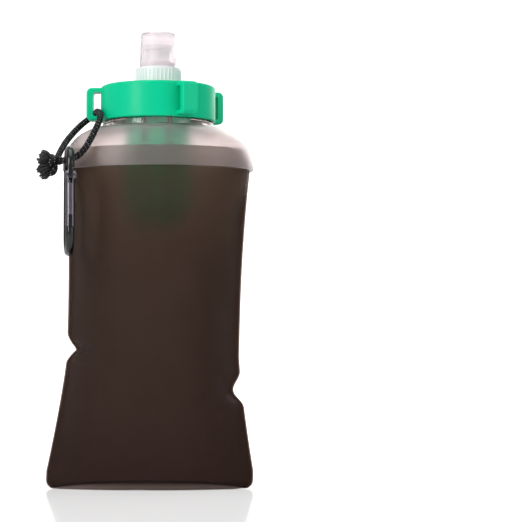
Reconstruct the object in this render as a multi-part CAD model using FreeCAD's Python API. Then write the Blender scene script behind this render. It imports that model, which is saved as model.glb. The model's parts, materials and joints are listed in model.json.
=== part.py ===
"""Folding water bottle with a filter: a film pouch, a moulded shoulder, a screw lid and a carabiner.

Millimetres. +Z is up, the origin is at the middle of the base on the surface it stands on, and
the front is -Y. Angles on the lid are counted from the front (-Y) towards +X.
"""

import FreeCAD
import Part

import math
import os

from FreeCAD import Base

V = Base.Vector
UP = V(0, 0, 1)

# ---- pouch film ----
FILM = 0.8  # film thickness
BASE_PLATE = 1.0  # welded base sheet
BASE_HALF_W = 63.8  # widest place, just above the base
BASE_HALF_D = 30.0
WAIST_HALF_W = 53.2  # narrowest place, at mid height
BELLY_HALF_D = 40.0
LIP_Z = 198.0  # lower edge of the shoulder dome
FILM_UNDER_DOME = 11.0  # film that runs up inside the dome

# ---- shoulder and neck ----
NECK_X = 4.8  # the neck stands a little to the right of the base
SHOULDER_HALF_W = 59.1
SHOULDER_HALF_D = 41.0
DOME_TOP_R = 35.0
DOME_RISE = 25.0
DOME_WALL = 1.6
SKIRT = 1.2  # straight edge below the dome
FIT = 0.3  # gap between pieces that move on each other
NECK_R = 30.2
NECK_WALL = 2.4
NECK_RISE = 44.6  # from the shoulder's lower edge up to the rim
BEAD_OUT = 4.2  # the bead stands this far out of the neck
BEAD_H = 3.4

# ---- lid thread ----
STARTS = 4
LEAD = 16.0
RIDGE_SPAN = 78.0  # degrees that each ridge runs round
RIDGE_BASE = 2.4
RIDGE_CREST = 1.4
RIDGE_H = 1.35
RIDGE_BELOW_RIM = 11.1  # where the neck ridges start
RIDGE_DROP = 2.8  # the ring ridges run this far below the neck ridges
CREST_GAP = 0.2

# ---- lid ring ----
RING_WALL = 2.4
RING_ROOM = 1.65  # from the neck's ridges out to the ring's wall
RING_BELOW_RIM = 15.6
RING_LIFT = 0.2  # the ring's flange lies this far above the carrier
RING_ROUND = 1.6
FLANGE = 2.4
RING_TOP_ROOM = 2.1  # round the spout's collar
LUG_ANGLES = (-90.0, 29.0, 121.0)
LUG_OUT = 8.8  # the lugs stand this far out of the ring
LUG_BAR = 4.2
LUG_W = 10.0
LUG_MARGIN = 0.8  # the lugs are this much shorter than the ring at each end
WINDOW_H = 15.0
LUG_ROUND = 3.2

# ---- gasket and carrier ----
GASKET_T = 1.6
CARRIER_T = 2.2
CARRIER_ROOM = 0.6  # from the carrier's rim out to the ring's wall
PLUG_ROOM = 2.0  # from the plug out to the neck's bore
PLUG_WALL = 2.0
PLUG_DEPTH = 12.0
STUB_R = 11.4
STUB_BORE_R = 9.0
STUB_H = 10.6

# ---- filter ----
CAGE_R = 20.0
CAGE_WALL = 1.8
CAGE_BELOW_RIM = 80.6
CAGE_TAPER_H = 13.0
CAGE_NOSE_R = 14.5
CAGE_FLOOR = 2.0
SLOTS = 8
SLOT_W = 3.9
SLOT_UP = 14.0  # the slots start this far above the cage's bottom
SLOT_BELOW_RIM = 12.6
HEAD_ROOM = 3.0  # from the filter's head out to the cage's bore
HEAD_H = 7.9
SPIGOT_R = 6.0
SPIGOT_BORE_R = 3.6
ORING_R = 0.9
BUNDLE_STEP = 0.8  # the fibre bundle is this much slimmer than the head
SLEEVE_WALL = 0.8
SLEEVE_UP = 15.0  # the sleeve starts this far above the cage's bottom

# ---- spout ----
WASHER_T = 1.2
COLLAR_WALL = 1.1
RIBS = 36
COLLAR_TOP = 2.6
COLLAR_PITCH = 4.2
COLLAR_TURNS = 1.4
COLLAR_CREST = 1.1
CAP_BOSS_STEP = 3.3  # the cap's boss is this much slimmer than the collar
CAP_BOSS_H = 2.5
TUBE_R = 5.2
TUBE_BORE_R = 3.8
NOZZLE_H = 12.2
NOZZLE_R = 6.9
NOZZLE_LIP_R = 8.4
NOZZLE_HOLE_R = 2.9
NOZZLE_TRAVEL = 5.0
CAP_ROOM = 0.8  # between the raised nozzle and the cap's ceiling
CAP_WALL = 0.85
CAP_TOP_T = 1.4
CAP_DRAFT = 0.5

# ---- cord ----
CORD_R = 2.0
KNOT_R = 6.4
KNOT_AT = V(-57.4, -35.2, 197.4)
TAIL_R = 0.9 * CORD_R
TAILS = ((4.5, V(-0.75, -0.1, -0.62)), (3.0, V(-0.98, 0.1, 0.08)))  # reach past the knot, and way
CORD_ROUTE = (  # from the knot, round the back of the lug bar, through its window and down
    V(-55.6, -30.8, 200.2),
    V(-54.6, -24.6, 204.6),
    V(-53.2, -16.6, 209.6),
    V(-50.8, -8.0, 215.4),
    V(-47.0, 0.2, 221.6),
    V(-42.6, 6.2, 227.0),
    V(-38.4, 9.6, 230.8),
    V(-34.6, 9.0, 232.8),
    V(-33.1, 5.2, 233.4),
    V(-33.1, -6.4, 233.2),
    V(-30.6, -14.6, 231.8),
    V(-29.4, -22.0, 227.4),
    V(-31.4, -28.4, 220.6),
    V(-34.6, -33.2, 212.8),
    V(-38.6, -36.8, 205.4),
    V(-43.6, -38.4, 200.8),
    V(-49.4, -38.2, 200.0),
    V(-54.2, -37.0, 198.4),
)

# ---- carabiner ----
HOOK_ROD_R = 2.6
HOOK_HALF_W = 13.0
HOOK_HALF_H = 30.6
HOOK_BEND_R = 11.0
HOOK_MIDDLE = V(-47.2, -37.5, 174.8)
HOOK_TURN = 8.0  # degrees that its plane is turned from facing straight left
GATE_R = 2.9
GATE_TOP = 19.0  # heights from the middle of the hook
RIVET_UP = 14.5
GATE_BOTTOM = -16.2
TANG_T = 2.2
RIVET_R = 1.0
RIVET_GAP = 0.05
SLIT_GAP = 0.25
NOSE_T = 1.8
NOSE_BACK = 0.8  # the nose reaches this far inside the gate's middle
NOSE_H = 6.4
FORK_DEPTH = 4.8  # the slit in the gate runs this far below the rivet
SPRING_R = 1.2
SPRING_LENGTH = 9.0

# ---- sizes that follow ----
NECK_BORE_R = NECK_R - NECK_WALL
BEAD_R = NECK_R + BEAD_OUT
RIM_Z = LIP_Z + NECK_RISE
NECK_CREST_R = NECK_R + RIDGE_H
RIDGE_Z = RIM_Z - RIDGE_BELOW_RIM
RING_ROOT_R = NECK_CREST_R + RING_ROOM
RING_R = RING_ROOT_R + RING_WALL
RING_Z0 = RIM_Z - RING_BELOW_RIM
RING_Z1 = RIM_Z + GASKET_T + CARRIER_T + RING_LIFT + FLANGE
LUG_R = RING_R + LUG_OUT
CARRIER_R = RING_ROOT_R - CARRIER_ROOM
PLUG_R = NECK_BORE_R - PLUG_ROOM
CAGE_BOTTOM_Z = RIM_Z - CAGE_BELOW_RIM
SLOT_Z0 = CAGE_BOTTOM_Z + SLOT_UP
SLOT_Z1 = RIM_Z - SLOT_BELOW_RIM
SLEEVE_BOTTOM_Z = CAGE_BOTTOM_Z + SLEEVE_UP
FILM_GAP = DOME_WALL + FIT
GASKET_Z = RIM_Z + GASKET_T
CARRIER_Z = GASKET_Z + CARRIER_T
STUB_TOP_Z = CARRIER_Z + STUB_H
WASHER_TOP_Z = STUB_TOP_Z + WASHER_T
COLLAR_TOP_Z = WASHER_TOP_Z + COLLAR_TOP
HEAD_TOP_Z = GASKET_Z - FIT
HEAD_Z = HEAD_TOP_Z - HEAD_H
CAGE_BORE_R = CAGE_R - CAGE_WALL
SEAT_R = CAGE_BORE_R - FIT
HEAD_R = CAGE_BORE_R - HEAD_ROOM
BUNDLE_R = HEAD_R - BUNDLE_STEP
NOZZLE_Z = COLLAR_TOP_Z + 0.1 + CAP_BOSS_H
STUB_CREST_R = STUB_R + COLLAR_CREST
COLLAR_BORE_R = STUB_CREST_R + FIT
COLLAR_R = COLLAR_BORE_R + COLLAR_WALL
RING_TOP_HOLE_R = COLLAR_R + RING_TOP_ROOM
CAP_BOSS_R = COLLAR_R - CAP_BOSS_STEP
CAP_H = NOZZLE_Z - COLLAR_TOP_Z + NOZZLE_H + NOZZLE_TRAVEL + CAP_ROOM + CAP_TOP_T


# ---- general shapes ----
def turned(outline):
    """A solid of revolution about Z from (radius, height) points."""
    points = [V(r, 0, z) for r, z in outline]
    face = Part.Face(Part.makePolygon(points + points[:1]))
    return face.revolve(V(0, 0, 0), UP, 360)


def disc(radius, z0, z1):
    return Part.makeCylinder(radius, z1 - z0, V(0, 0, z0))


def tube(outer, inner, z0, z1):
    return disc(outer, z0, z1).cut(disc(inner, z0, z1))


def round_corner(r, z, radius, quadrant, steps=5):
    """Points on a rounded corner of a turned outline; (r, z) is the corner's sharp point."""
    sr, sz = quadrant
    middle_r, middle_z = r - sr * radius, z - sz * radius
    turns = [math.pi / 2 * k / steps for k in range(steps + 1)]
    points = [
        (middle_r + sr * radius * math.cos(t), middle_z + sz * radius * math.sin(t)) for t in turns
    ]
    return points if sr * sz > 0 else points[::-1]


def ridge(root_r, crest_r, start_z, lead, span, start_angle):
    """A helical ridge of trapezoid section, sunk a little into the wall that carries it."""
    sink = 0.4 if crest_r > root_r else -0.4
    half_base, half_crest = RIDGE_BASE / 2, RIDGE_CREST / 2
    section = Part.makePolygon(
        [
            V(root_r - sink, 0, -half_base),
            V(crest_r, 0, -half_crest),
            V(crest_r, 0, half_crest),
            V(root_r - sink, 0, half_base),
            V(root_r - sink, 0, -half_base),
        ]
    )
    spine = Part.makeHelix(lead, lead * span / 360.0, root_r)
    solid = Part.Wire(spine.Edges).makePipeShell([section], True, True)
    solid.rotate(V(0, 0, 0), UP, start_angle)
    solid.translate(V(0, 0, start_z))
    return solid


def oval(half_w, half_d, z):
    """A closed ellipse or circle, level, about the Z axis."""
    if abs(half_w - half_d) < 1e-6:
        curve = Part.Circle(V(0, 0, z), UP, half_w)
    else:
        curve = Part.Ellipse(V(half_w, 0, z), V(0, half_d, z), V(0, 0, z))
    return Part.Wire([curve.toShape()])


def round_path(points):
    """Straight runs joined by tangent arcs, each as large as its two runs allow."""
    edges, start, radii = [], points[0], []
    for before, here, after in zip(points, points[1:], points[2:]):
        back, ahead = before - here, after - here
        turn = math.pi - back.getAngle(ahead)
        reach = 0.45 * min(back.Length, ahead.Length)
        radii.append(reach / math.tan(turn / 2))
        back.normalize()
        ahead.normalize()
        enter, leave = here + back * reach, here + ahead * reach
        half_way = back + ahead
        half_way.normalize()
        inside = radii[-1] / math.cos(turn / 2) - radii[-1]
        middle = here + half_way * inside
        if (enter - start).Length > 1e-6:
            edges.append(Part.LineSegment(start, enter).toShape())
        edges.append(Part.Arc(enter, middle, leave).toShape())
        start = leave
    edges.append(Part.LineSegment(start, points[-1]).toShape())
    return Part.Wire(edges), radii


def swept_rod(wire, radius):
    start = wire.Edges[0]
    heading = start.tangentAt(start.FirstParameter)
    profile = Part.Wire([Part.Circle(wire.Vertexes[0].Point, heading, radius).toShape()])
    return wire.makePipeShell([profile], True, True)


# ---- pouch ----
def film_station(z):
    """Half width, half depth, centre and squareness of the film's outside at a height."""
    up = z / LIP_Z
    flare = ((0.0, 0.90), (0.02, 0.985), (0.045, 1.0), (0.10, 0.86), (0.20, 0.52), (0.29, 0.14))
    flare += ((0.40, 0.03), (0.50, 0.0), (1.0, 0.0))
    top_w = SHOULDER_HALF_W - FILM_GAP
    top_d = SHOULDER_HALF_D - FILM_GAP
    spread = between(flare, up)
    rise = max(0.0, (up - 0.5) / 0.5) ** 2.2
    half_w = WAIST_HALF_W + spread * (BASE_HALF_W - WAIST_HALF_W) + rise * (top_w - WAIST_HALF_W)
    belly = math.sin(math.pi / 2 * min(1.0, up / 0.62))
    half_d = BASE_HALF_D + belly * (BELLY_HALF_D - BASE_HALF_D)
    half_d += max(0.0, (up - 0.62) / 0.38) * (top_d - BELLY_HALF_D)
    return half_w, half_d, NECK_X * up


def between(table, x):
    """Straight-line reading of a small table."""
    for (x0, y0), (x1, y1) in zip(table, table[1:]):
        if x <= x1:
            return y0 + (y1 - y0) * (x - x0) / (x1 - x0)
    return table[-1][1]


def film_levels():
    """(height, half width, half depth, centre) of each section of the film's outside."""
    levels = []
    for up in (0.005, 0.02, 0.05, 0.10, 0.20, 0.30, 0.42, 0.56, 0.70, 0.84, 0.94):
        z = max(BASE_PLATE, up * LIP_Z)
        levels.append((z,) + film_station(z))
    rise = DOME_RISE - FILM_GAP
    for lift in (0.0, 0.34, 0.68, 1.0):
        z = LIP_Z + FILM_UNDER_DOME * lift
        run = math.sqrt(1 - ((z - LIP_Z) / rise) ** 2)
        half_w = DOME_TOP_R + (SHOULDER_HALF_W - DOME_TOP_R) * run - FILM_GAP
        half_d = DOME_TOP_R + (SHOULDER_HALF_D - DOME_TOP_R) * run - FILM_GAP
        levels.append((z, half_w, half_d, NECK_X))
    return levels


def film_panel(side):
    """Half of the pouch wall: side is -1 at the front and 1 at the back."""
    sections = []
    for z, half_w, half_d, middle in film_levels():
        outer = film_arc(middle, half_w, half_d, z, side)
        inner = film_arc(middle, half_w - FILM, half_d - FILM, z, side)
        ends = [(outer.StartPoint, inner.StartPoint), (inner.EndPoint, outer.EndPoint)]
        seams = [Part.LineSegment(a, b).toShape() for a, b in ends]
        sections.append(Part.Wire([outer.toShape(), seams[1], inner.toShape(), seams[0]]))
    return Part.makeLoft(sections, True, False)


def film_arc(middle, half_w, half_d, z, side):
    turns = [math.pi * k / 14 for k in range(15)]
    points = [
        V(middle + half_w * math.cos(t), side * half_d * math.sin(t), z) for t in turns
    ]
    curve = Part.BSplineCurve()
    curve.interpolate(points)
    return curve


def pouch_base_panel():
    z, half_w, half_d, middle = film_levels()[0]
    sheet = Part.Face(oval(half_w, half_d, 0)).extrude(V(0, 0, BASE_PLATE))
    sheet.translate(V(middle, 0, 0))
    return sheet


# ---- shoulder ----
def dome(wall):
    """The shoulder's dome as a solid, smaller by wall all over."""
    sections = [oval(SHOULDER_HALF_W - wall, SHOULDER_HALF_D - wall, LIP_Z - SKIRT)]
    for k in range(8):
        turn = math.radians(90.0 * k / 7)
        run, z = math.cos(turn), LIP_Z + (DOME_RISE - wall) * math.sin(turn)
        half_w = DOME_TOP_R + (SHOULDER_HALF_W - DOME_TOP_R) * run - wall
        half_d = DOME_TOP_R + (SHOULDER_HALF_D - DOME_TOP_R) * run - wall
        sections.append(oval(half_w, half_d, z))
    return Part.makeLoft(sections, True, False)


def neck_shoulder():
    top = LIP_Z + DOME_RISE
    bead = turned(
        [(NECK_BORE_R, top - DOME_WALL)]
        + [(DOME_TOP_R - 1.0, top - DOME_WALL), (BEAD_R, top)]
        + round_corner(BEAD_R, top + BEAD_H, 1.0, (1, 1))
        + [(NECK_BORE_R, top + BEAD_H)]
    )
    neck = turned(
        [(NECK_BORE_R, top), (NECK_R, top)]
        + round_corner(NECK_R, RIM_Z, 0.5, (1, 1))
        + [(NECK_BORE_R, RIM_Z)]
    )
    shell = dome(0.0).cut(dome(DOME_WALL)).cut(disc(NECK_BORE_R, LIP_Z, RIM_Z))
    ridges = [
        ridge(NECK_R, NECK_CREST_R, RIDGE_Z, LEAD, RIDGE_SPAN, 360.0 * k / STARTS)
        for k in range(STARTS)
    ]
    return shell.multiFuse([bead, neck] + ridges)


# ---- lid ----
def lid_lug(angle):
    """A grip lug: a bar that stands off the ring, with a window behind it."""
    z0, z1 = RING_Z0 + LUG_MARGIN, RING_Z1 - LUG_MARGIN
    root = RING_R - 1.2
    block = Part.makeBox(LUG_R - root, LUG_W, z1 - z0, V(root, -LUG_W / 2, z0))
    outer = [e for e in block.Edges if e.BoundBox.XMin > LUG_R - 0.01]
    level = [e for e in outer if e.BoundBox.ZLength < 0.01]
    block = block.makeFillet(LUG_ROUND, level)
    upright = [
        e
        for e in block.Edges
        if e.BoundBox.XMin > root + 0.01 and e.BoundBox.YLength < 0.01 and e.Length > 1
    ]
    block = block.makeFillet(1.2, upright)
    bar_inside = LUG_R - LUG_BAR
    middle = (z0 + z1) / 2
    window = Part.makeBox(
        bar_inside - root, LUG_W + 2, WINDOW_H, V(root, -LUG_W / 2 - 1, middle - WINDOW_H / 2)
    )
    across = [e for e in window.Edges if e.BoundBox.YLength > LUG_W]
    window = window.makeFillet(1.3, across)
    lug = block.cut(window).fuse(wall_behind(root, z0, z1))
    lug.rotate(V(0, 0, 0), UP, angle - 90.0)
    return lug


def wall_behind(root, z0, z1):
    """The slice of ring wall behind a lug, which the two are joined by."""
    slab = Part.makeBox(RING_R, LUG_W, z1 - z0, V(root - 1.0, -LUG_W / 2, z0))
    return slab.common(tube(RING_R, RING_R - 2.0, z0, z1))


def lid_ring():
    under_flange = RING_Z1 - FLANGE
    body = turned(
        [(RING_ROOT_R + 0.8, RING_Z0)]
        + round_corner(RING_R, RING_Z0, RING_ROUND * 0.6, (1, -1))
        + round_corner(RING_R, RING_Z1, RING_ROUND, (1, 1))
        + round_corner(RING_TOP_HOLE_R, RING_Z1, 0.6, (-1, 1))
        + [(RING_TOP_HOLE_R, under_flange), (RING_ROOT_R, under_flange)]
        + [(RING_ROOT_R, RING_Z0 + 0.8)]
    )
    start = RIDGE_Z - RIDGE_DROP
    crest_r = NECK_CREST_R + CREST_GAP
    ridges = [
        ridge(RING_ROOT_R, crest_r, start, LEAD, RIDGE_SPAN, 360.0 * k / STARTS + 6)
        for k in range(STARTS)
    ]
    return body.multiFuse([lid_lug(a) for a in LUG_ANGLES] + ridges)


def lid_gasket():
    return tube(NECK_R - 0.2, PLUG_R + FIT, RIM_Z, GASKET_Z)


def filter_carrier():
    plug_z = GASKET_Z - PLUG_DEPTH
    plate = disc(CARRIER_R, GASKET_Z, CARRIER_Z)
    plug = tube(PLUG_R, PLUG_R - PLUG_WALL, plug_z, GASKET_Z)
    seat = tube(SEAT_R, HEAD_R + FIT, HEAD_Z, GASKET_Z)
    stub = tube(STUB_R, STUB_BORE_R, CARRIER_Z, STUB_TOP_Z)
    thread = stub_thread(STUB_R, STUB_CREST_R)
    carrier = plate.multiFuse([plug, seat, stub, thread])
    return carrier.cut(disc(SPIGOT_R + 0.05, GASKET_Z - 1, CARRIER_Z + 1))


def stub_thread(root_r, crest_r, drop=0.0):
    low = CARRIER_Z + 3.5 - drop
    return ridge_small(root_r, crest_r, low, COLLAR_PITCH, 360.0 * COLLAR_TURNS)


def ridge_small(root_r, crest_r, start_z, pitch, span):
    sink = 0.3 if crest_r > root_r else -0.3
    section = Part.makePolygon(
        [
            V(root_r - sink, 0, -0.75),
            V(crest_r, 0, -0.35),
            V(crest_r, 0, 0.35),
            V(root_r - sink, 0, 0.75),
            V(root_r - sink, 0, -0.75),
        ]
    )
    spine = Part.makeHelix(pitch, pitch * span / 360.0, root_r)
    solid = Part.Wire(spine.Edges).makePipeShell([section], True, True)
    solid.translate(V(0, 0, start_z))
    return solid


# ---- filter ----
def filter_cage():
    top = HEAD_TOP_Z
    taper_z = CAGE_BOTTOM_Z + CAGE_TAPER_H
    outside = turned(
        [(0, CAGE_BOTTOM_Z)]
        + round_corner(CAGE_NOSE_R, CAGE_BOTTOM_Z, 2.0, (1, -1))
        + [(CAGE_R, taper_z), (CAGE_R, top), (0, top)]
    )
    inside = turned(
        [
            (0, CAGE_BOTTOM_Z + CAGE_FLOOR),
            (CAGE_NOSE_R - CAGE_WALL, CAGE_BOTTOM_Z + CAGE_FLOOR),
            (CAGE_BORE_R, taper_z),
            (CAGE_BORE_R, top + 1),
            (0, top + 1),
        ]
    )
    slots = []
    for k in range(SLOTS):
        slot = Part.makeBox(CAGE_R, SLOT_W, SLOT_Z1 - SLOT_Z0, V(CAGE_R / 2, -SLOT_W / 2, SLOT_Z0))
        ends = [e for e in slot.Edges if e.BoundBox.XLength > 1]
        slot = slot.makeFillet(SLOT_W / 2 - 0.2, ends)
        slot.rotate(V(0, 0, 0), UP, 360.0 * (k + 0.5) / SLOTS)
        slots.append(slot)
    return outside.cut(inside).cut(Part.makeCompound(slots))


def cartridge_head():
    groove_z = HEAD_Z + HEAD_H * 0.62
    head = turned(
        [(SPIGOT_BORE_R, HEAD_Z), (HEAD_R, HEAD_Z), (HEAD_R, groove_z - ORING_R)]
        + [(HEAD_R - ORING_R, groove_z - ORING_R), (HEAD_R - ORING_R, groove_z + ORING_R)]
        + [(HEAD_R, groove_z + ORING_R), (HEAD_R, HEAD_TOP_Z), (SPIGOT_R, HEAD_TOP_Z)]
        + [(SPIGOT_R, CARRIER_Z + 2.0), (SPIGOT_BORE_R, CARRIER_Z + 2.0)]
    )
    return head


def cartridge_oring():
    section_r = (ORING_R + FIT) / 2
    ring = Part.makeTorus(HEAD_R + FIT - section_r, section_r)
    ring.translate(V(0, 0, HEAD_Z + HEAD_H * 0.62))
    return ring


def fiber_bundle():
    low = SLEEVE_BOTTOM_Z + SLEEVE_WALL + 0.6
    foot = round_corner(BUNDLE_R, low, 3.0, (1, -1))
    return turned([(0, low)] + foot + [(BUNDLE_R, HEAD_Z), (0, HEAD_Z)])


def filter_mesh_sleeve():
    inner = BUNDLE_R + 0.2
    cup = disc(inner + SLEEVE_WALL, SLEEVE_BOTTOM_Z, HEAD_Z)
    return cup.cut(disc(inner, SLEEVE_BOTTOM_Z + SLEEVE_WALL, HEAD_Z))


# ---- spout ----
def spout_washer():
    return tube(STUB_R, STUB_BORE_R, STUB_TOP_Z, WASHER_TOP_Z)


def spout_collar():
    skirt_z = CARRIER_Z + FIT
    boss_z = COLLAR_TOP_Z + CAP_BOSS_H
    nozzle_top = NOZZLE_Z + NOZZLE_H
    outline = (
        [(COLLAR_BORE_R, skirt_z), (COLLAR_R, skirt_z)]
        + round_corner(COLLAR_R, COLLAR_TOP_Z, 0.8, (1, 1))
        + [(CAP_BOSS_R, COLLAR_TOP_Z), (CAP_BOSS_R, boss_z), (TUBE_R, boss_z)]
        + [(TUBE_R, nozzle_top - 3.4), (NOZZLE_HOLE_R - FIT, nozzle_top - 2.2)]
        + [(NOZZLE_HOLE_R - FIT, nozzle_top - 0.3), (0, nozzle_top - 0.3)]
        + [(0, nozzle_top - 4.6), (TUBE_BORE_R, nozzle_top - 4.6)]
        + [(TUBE_BORE_R, WASHER_TOP_Z), (COLLAR_BORE_R, WASHER_TOP_Z)]
    )
    body = turned(outline)
    ports = [
        Part.makeCylinder(1.3, 2 * TUBE_R, V(-TUBE_R, 0, nozzle_top - 6.2), V(1, 0, 0)),
        Part.makeCylinder(1.3, 2 * TUBE_R, V(0, -TUBE_R, nozzle_top - 6.2), V(0, 1, 0)),
    ]
    ribs = []
    for k in range(RIBS):
        rib = Part.makeCylinder(0.42, COLLAR_TOP_Z - skirt_z - 2.6, V(COLLAR_R, 0, skirt_z + 0.8))
        rib.rotate(V(0, 0, 0), UP, 360.0 * k / RIBS)
        ribs.append(rib)
    thread = stub_thread(COLLAR_BORE_R, STUB_R + FIT, COLLAR_PITCH / 2)
    return body.cut(Part.makeCompound(ports)).multiFuse(ribs + [thread])


def spout_nozzle():
    top = NOZZLE_Z + NOZZLE_H
    foot = NOZZLE_LIP_R - 0.2
    bore = TUBE_R + FIT
    return turned(
        [(bore, NOZZLE_Z), (foot, NOZZLE_Z), (foot, NOZZLE_Z + 1.4), (NOZZLE_R, NOZZLE_Z + 2.2)]
        + [(NOZZLE_R, top - 4.2), (NOZZLE_LIP_R, top - 3.4)]
        + round_corner(NOZZLE_LIP_R, top, 1.2, (1, 1))
        + [(NOZZLE_HOLE_R, top), (NOZZLE_HOLE_R, top - 1.5), (bore, top - 2.6)]
    )


def dust_cap():
    foot_z, top = COLLAR_TOP_Z, COLLAR_TOP_Z + CAP_H
    inner = CAP_BOSS_R + 0.05
    outer = inner + CAP_WALL
    outline = (
        [(inner, foot_z), (outer, foot_z)]
        + round_corner(outer - CAP_DRAFT, top, 1.6, (1, 1))
        + [(0, top), (0, top - CAP_TOP_T), (inner - CAP_DRAFT, top - CAP_TOP_T)]
        + [(inner - CAP_DRAFT, foot_z + CAP_BOSS_H + 6), (inner, foot_z + CAP_BOSS_H + 0.5)]
    )
    return turned(outline)


# ---- cord ----
def cord_loop():
    path, radii = round_path(CORD_ROUTE)
    rod = swept_rod(path, CORD_R)
    print("cord bend radii:", [round(r, 1) for r in radii])
    print("cord length %.1f, volume over section times length %.4f"
          % (path.Length, rod.Volume / (math.pi * CORD_R**2 * path.Length)))
    return rod


def cord_knot():
    """The knot that ties the loop, with its two tails."""
    lump = Part.makeSphere(KNOT_R, KNOT_AT)
    tails = [
        Part.makeCylinder(TAIL_R, KNOT_R + out, KNOT_AT, way) for out, way in TAILS
    ]
    return lump.multiFuse(tails).cut(cord_loop_ends())


def cord_loop_ends():
    return Part.makeCompound([swept_rod(round_path(CORD_ROUTE)[0], CORD_R)])


# ---- carabiner, drawn flat in its own X (spine to gate) and Z, then turned into place ----
def into_place(shape):
    shape.rotate(V(0, 0, 0), UP, HOOK_TURN - 90.0)
    shape.translate(HOOK_MIDDLE)
    return shape


def hook_path():
    w, h, r = HOOK_HALF_W, HOOK_HALF_H, HOOK_BEND_R
    slant = math.sqrt(0.5)
    corners = ((1, -1), (-1, -1), (-1, 1), (1, 1))
    edges, at = [], V(w, 0, GATE_BOTTOM - 0.4)
    for k, (sx, sz) in enumerate(corners):
        middle = V(sx * (w - r), 0, sz * (h - r))
        side, end = middle + V(sx * r, 0, 0), middle + V(0, 0, sz * r)
        enter, leave = (side, end) if k % 2 == 0 else (end, side)
        edges.append(Part.LineSegment(at, enter).toShape())
        half_way = middle + V(sx * r * slant, 0, sz * r * slant)
        edges.append(Part.Arc(enter, half_way, leave).toShape())
        at = leave
    edges.append(Part.LineSegment(at, V(w, 0, GATE_TOP + 0.4)).toShape())
    return Part.Wire(edges)


def across(radius, length, x, z):
    """A cylinder through the hook's thickness."""
    return Part.makeCylinder(radius, length, V(x, -length / 2, z), V(0, 1, 0))


def carabiner_body():
    rod = swept_rod(hook_path(), HOOK_ROD_R)
    w = HOOK_HALF_W
    eye_r = GATE_R - 0.2
    tang = Part.makeBox(
        2 * eye_r, TANG_T, GATE_TOP + 2 - RIVET_UP, V(w - eye_r, -TANG_T / 2, RIVET_UP)
    )
    tang = tang.fuse(across(eye_r, TANG_T, w, RIVET_UP))
    nose_z = GATE_BOTTOM - 1.0
    nose_w = GATE_R + NOSE_BACK
    nose = Part.makeBox(nose_w, NOSE_T, NOSE_H + 1.0, V(w - NOSE_BACK, -NOSE_T / 2, nose_z))
    return into_place(rod.multiFuse([tang, nose]).cut(across(RIVET_R + RIVET_GAP, 9, w, RIVET_UP)))


def carabiner_gate():
    w = HOOK_HALF_W
    rod = Part.makeCylinder(GATE_R, GATE_TOP - GATE_BOTTOM - 1.6, V(w, 0, GATE_BOTTOM))
    knuckle = across(GATE_R, 2 * GATE_R, w, RIVET_UP)
    slit_t = TANG_T + 2 * SLIT_GAP
    slit_low = RIVET_UP - FORK_DEPTH
    slit = Part.makeBox(3 * GATE_R, slit_t, 20, V(w - 1.5 * GATE_R, -slit_t / 2, slit_low))
    notch_t = NOSE_T + 2 * SLIT_GAP
    notch_low = GATE_BOTTOM - 0.1
    notch_x = w - NOSE_BACK - SLIT_GAP
    notch = Part.makeBox(3 * GATE_R, notch_t, NOSE_H + 0.7, V(notch_x, -notch_t / 2, notch_low))
    bore_low = slit_low - SPRING_LENGTH - 0.3
    bore = Part.makeCylinder(SPRING_R + 0.1, SPRING_LENGTH + 0.6, V(w, 0, bore_low))
    top = Part.makeBox(20, 20, 20, V(w - 10, -10, RIVET_UP + GATE_R))
    gate = rod.fuse(knuckle).cut(top).cut(slit).cut(notch).cut(bore)
    return into_place(gate.cut(across(RIVET_R + RIVET_GAP, 9, w, RIVET_UP)))


def carabiner_rivet():
    shaft = across(RIVET_R, 2 * GATE_R + 0.2, HOOK_HALF_W, RIVET_UP)
    heads = [
        Part.makeCylinder(RIVET_R + 0.5, 0.5, V(HOOK_HALF_W, s * (GATE_R + 0.1), RIVET_UP), V(0, s, 0))
        for s in (-1, 1)
    ]
    return into_place(shaft.multiFuse(heads))


def carabiner_spring():
    low = RIVET_UP - FORK_DEPTH - SPRING_LENGTH - 0.2
    return into_place(Part.makeCylinder(SPRING_R, SPRING_LENGTH, V(HOOK_HALF_W, 0, low)))


# ---- all the pieces ----
ON_THE_NECK = (
    neck_shoulder,
    lid_gasket,
    filter_carrier,
    lid_ring,
    filter_cage,
    cartridge_head,
    cartridge_oring,
    fiber_bundle,
    filter_mesh_sleeve,
    spout_washer,
    spout_collar,
    spout_nozzle,
    dust_cap,
)
IN_PLACE = (
    pouch_base_panel,
    cord_loop,
    cord_knot,
    carabiner_body,
    carabiner_gate,
    carabiner_rivet,
    carabiner_spring,
)


def all_pieces():
    pieces = {"pouch_front_panel": film_panel(-1), "pouch_back_panel": film_panel(1)}
    for make in ON_THE_NECK:
        shape = make()
        shape.translate(V(NECK_X, 0, 0))
        pieces[make.__name__] = shape
    for make in IN_PLACE:
        pieces[make.__name__] = make()
    return pieces


def main():
    os.makedirs("parts", exist_ok=True)
    for name, shape in all_pieces().items():
        shape = shape.removeSplitter()
        facts = (name, len(shape.Solids), shape.isValid(), shape.Volume)
        print("%-20s solids %d valid %s volume %.1f" % facts)
        shape.exportStep("parts/%s.step" % name)


main()
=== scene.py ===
"""Folding water bottle: the looks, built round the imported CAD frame.

Metres, in the frame of the CAD: +Z up, the origin at the middle of the base, the front towards -Y.
"""

import json
import math

import bpy
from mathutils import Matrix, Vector, noise


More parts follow.
